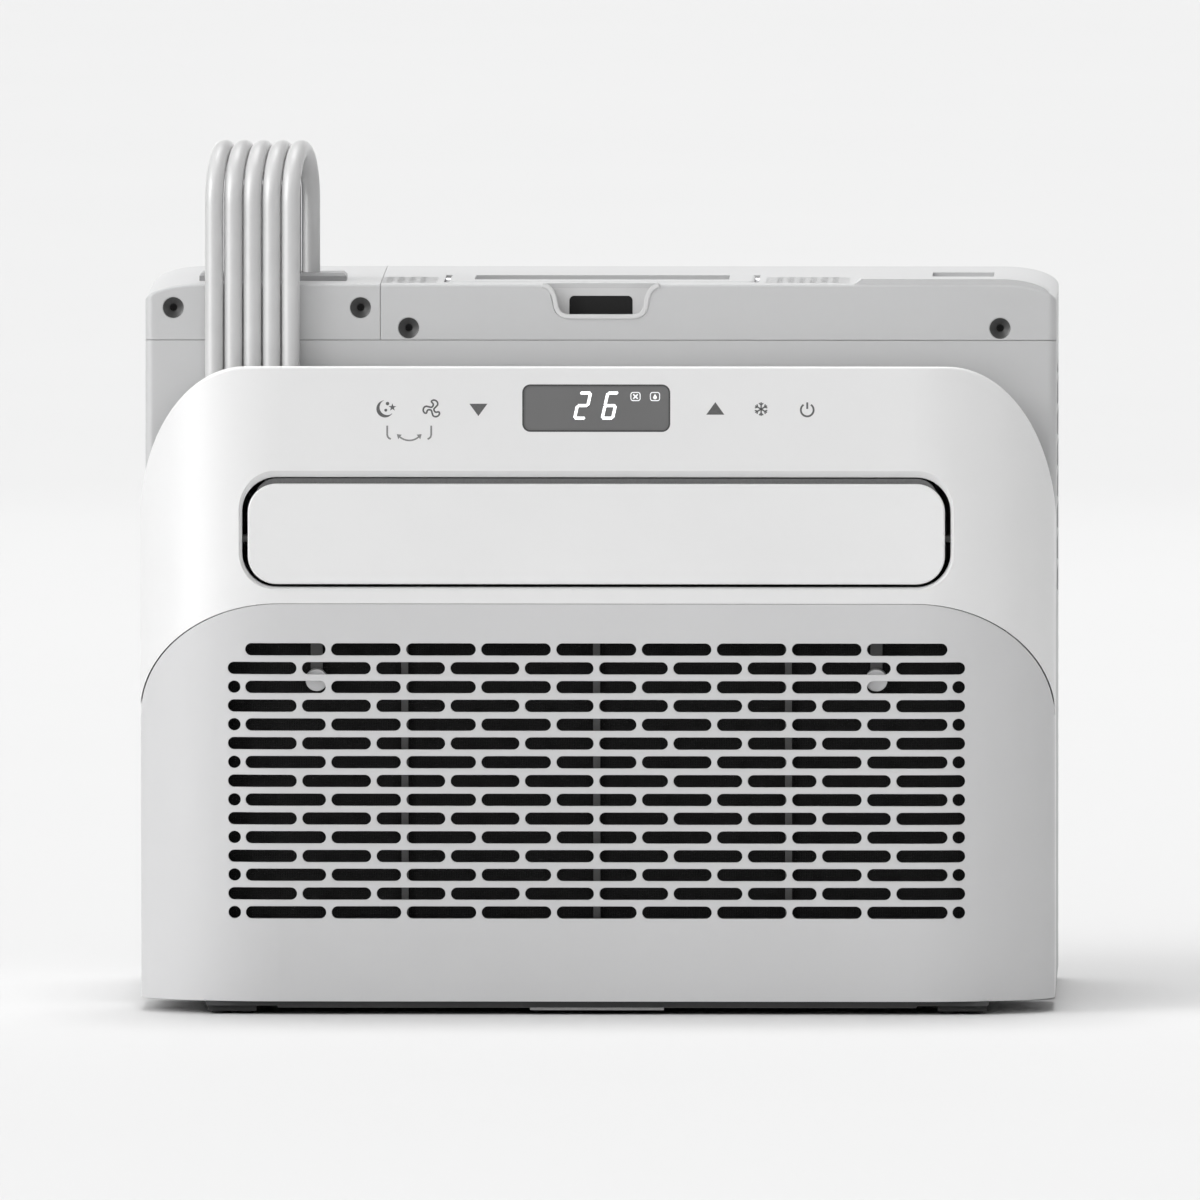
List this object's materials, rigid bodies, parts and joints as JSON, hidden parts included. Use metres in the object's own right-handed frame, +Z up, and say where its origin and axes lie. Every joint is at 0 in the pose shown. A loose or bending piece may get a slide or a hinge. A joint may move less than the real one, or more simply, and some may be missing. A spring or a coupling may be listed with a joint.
{
  "type": "window air conditioner",
  "caption": "Saddle window air conditioner: indoor unit with slotted inlet grille and outlet flap, taller outdoor unit behind it, joined by an arched bundle of hoses.",
  "frame": {"origin": "on the floor, under the middle of the whole object", "axes": "-Y faces the room, +X is to the right of a person facing the controls, +Z is up"},
  "size_m": [0.458, 0.35, 0.4316],
  "materials": {
    "white_plastic": "satin",
    "grille_plastic": "satin",
    "outdoor_plastic": "satin",
    "collar_plastic": "satin",
    "duct_plastic": "matte",
    "black_plastic": "matte",
    "filter_cloth": "woven",
    "display_glass": "gloss",
    "circuit_board": "satin",
    "coil_fin": "satin",
    "copper": "satin",
    "steel": "satin",
    "black_steel": "semi-gloss",
    "rubber": "matte",
    "hose_sheath": "satin"
  },
  "bodies": {
    "root": {"accumulator": "black_steel", "blower_bearing": "black_plastic", "blower_motor": "black_steel", "blower_scroll": "duct_plastic", "compressor": "black_steel", "compressor_mounts": "rubber", "condensate_pan": "duct_plastic", "condenser_fins": "coil_fin", "condenser_tubes": "copper", "control_board": "circuit_board", "cover_screws": "black_steel", "display_window": "display_glass", "drain_plug": "rubber", "electrical_box": "black_plastic", "evaporator_fins": "coil_fin", "evaporator_tubes": "copper", "fan_motor": "black_steel", "fan_shroud": "steel", "flap_motor": "duct_plastic", "handle_pins": "steel", "hose_collar": "collar_plastic", "hose_cover": "outdoor_plastic", "hose_gland": "collar_plastic", "indoor_base_pan": "white_plastic", "indoor_base_plate": "black_steel", "indoor_feet": "black_plastic", "indoor_front_shell": "white_plastic", "indoor_rear_casing": "white_plastic", "latch_plate": "collar_plastic", "link_hose_1": "hose_sheath", "link_hose_2": "hose_sheath", "link_hose_3": "hose_sheath", "link_hose_4": "hose_sheath", "link_hose_5": "hose_sheath", "motor_bracket": "steel", "outdoor_base_pan": "steel", "outdoor_feet": "rubber", "outdoor_front_plate": "outdoor_plastic", "outdoor_rear_shell": "outdoor_plastic", "outlet_duct": "duct_plastic", "rear_grille": "outdoor_plastic", "refrigerant_pipes": "copper", "side_louvres": "outdoor_plastic", "top_cover": "outdoor_plastic"},
    "flap": {"outlet_flap": "white_plastic"},
    "blower": {"blower_wheel": "black_plastic"},
    "fan": {"condenser_fan": "black_plastic", "fan_shaft": "steel"},
    "handle": {"carry_handle": "outdoor_plastic"},
    "grille": {"inlet_grille": "grille_plastic", "filter_frame": "duct_plastic", "filter_mesh": "filter_cloth", "grille_catches": "grille_plastic"},
    "link_bar": {"vane_link_bar": "duct_plastic"},
    "vane_1": {"swing_vane_1": "duct_plastic"},
    "vane_2": {"swing_vane_2": "duct_plastic"},
    "vane_3": {"swing_vane_3": "duct_plastic"},
    "vane_4": {"swing_vane_4": "duct_plastic"},
    "vane_5": {"swing_vane_5": "duct_plastic"},
    "vane_6": {"swing_vane_6": "duct_plastic"}
  },
  "joints": [
    {"name": "flap_tilt", "type": "hinge", "parent": "root", "child": "flap", "pos_m": [0, -0.1689, 0.2395], "axis": [1, 0, 0], "range_deg": [0, 75]},
    {"name": "vane_yaw_1", "type": "hinge", "parent": "root", "child": "vane_1", "pos_m": [-0.14, -0.131, 0.2427], "axis": [0, 0, 1], "range_deg": [-35, 35]},
    {"name": "vane_yaw_2", "type": "hinge", "parent": "root", "child": "vane_2", "pos_m": [-0.084, -0.131, 0.2427], "axis": [0, 0, 1], "range_deg": [-35, 35]},
    {"name": "vane_yaw_3", "type": "hinge", "parent": "root", "child": "vane_3", "pos_m": [-0.028, -0.131, 0.2427], "axis": [0, 0, 1], "range_deg": [-35, 35]},
    {"name": "vane_yaw_4", "type": "hinge", "parent": "root", "child": "vane_4", "pos_m": [0.028, -0.131, 0.2427], "axis": [0, 0, 1], "range_deg": [-35, 35]},
    {"name": "vane_yaw_5", "type": "hinge", "parent": "root", "child": "vane_5", "pos_m": [0.084, -0.131, 0.2427], "axis": [0, 0, 1], "range_deg": [-35, 35]},
    {"name": "vane_yaw_6", "type": "hinge", "parent": "root", "child": "vane_6", "pos_m": [0.14, -0.131, 0.2427], "axis": [0, 0, 1], "range_deg": [-35, 35]},
    {"name": "link_bar_turn", "type": "hinge", "parent": "vane_1", "child": "link_bar", "pos_m": [-0.14, -0.122, 0.221], "axis": [0, 0, 1], "range_deg": [-36, 36]},
    {"name": "blower_spin", "type": "hinge", "parent": "root", "child": "blower", "pos_m": [0, -0.08, 0.2], "axis": [1, 0, 0], "continuous": true},
    {"name": "fan_spin", "type": "hinge", "parent": "root", "child": "fan", "pos_m": [0.066, 0.088, 0.165], "axis": [0, 1, 0], "continuous": true},
    {"name": "handle_lift", "type": "hinge", "parent": "root", "child": "handle", "pos_m": [0, 0.062, 0.3564], "axis": [-1, 0, 0], "range_deg": [0, 95]},
    {"name": "grille_pull", "type": "slide", "parent": "root", "child": "grille", "axis": [0, -1, 0], "range_m": [0, 0.04]}
  ],
  "couplings": [
    {"joint": "vane_yaw_2", "follows": "vane_yaw_1", "ratio": 1},
    {"joint": "vane_yaw_3", "follows": "vane_yaw_1", "ratio": 1},
    {"joint": "vane_yaw_4", "follows": "vane_yaw_1", "ratio": 1},
    {"joint": "vane_yaw_5", "follows": "vane_yaw_1", "ratio": 1},
    {"joint": "vane_yaw_6", "follows": "vane_yaw_1", "ratio": 1},
    {"joint": "link_bar_turn", "follows": "vane_yaw_1", "ratio": -1}
  ]
}
